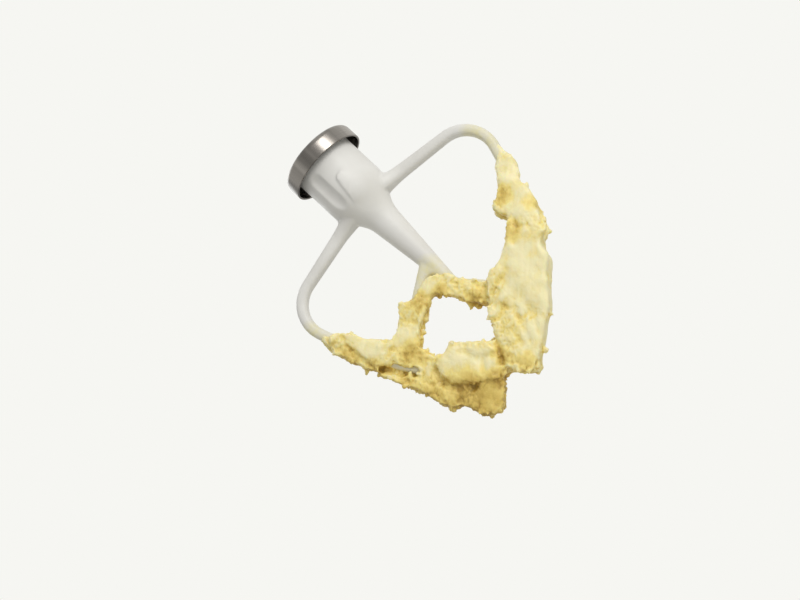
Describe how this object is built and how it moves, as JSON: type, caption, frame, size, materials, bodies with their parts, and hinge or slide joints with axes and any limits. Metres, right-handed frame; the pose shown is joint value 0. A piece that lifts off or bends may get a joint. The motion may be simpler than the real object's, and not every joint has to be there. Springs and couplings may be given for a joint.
{
  "type": "stand mixer flat beater",
  "caption": "Flat beater for a stand mixer: white coated casting with a drive hub, tapered shaft, looped frame and ribs, a steel collar and clinging batter.",
  "frame": {"origin": "centre of the drive bore's mouth, at the top of the hub", "axes": "+Z out of the bore along the shaft, X across the beater's width, Y through its thickness, -Y the side with the pin track pad"},
  "size_m": [0.1409, 0.0446, 0.1672],
  "materials": {
    "white_coating": "smooth satin white coating on cast aluminium",
    "collar_steel": "brushed stainless steel",
    "batter": "moist pale yellow batter"
  },
  "bodies": {
    "root": {"beater_body": "white_coating", "shaft_collar": "collar_steel", "batter": "batter"}
  },
  "joints": []
}
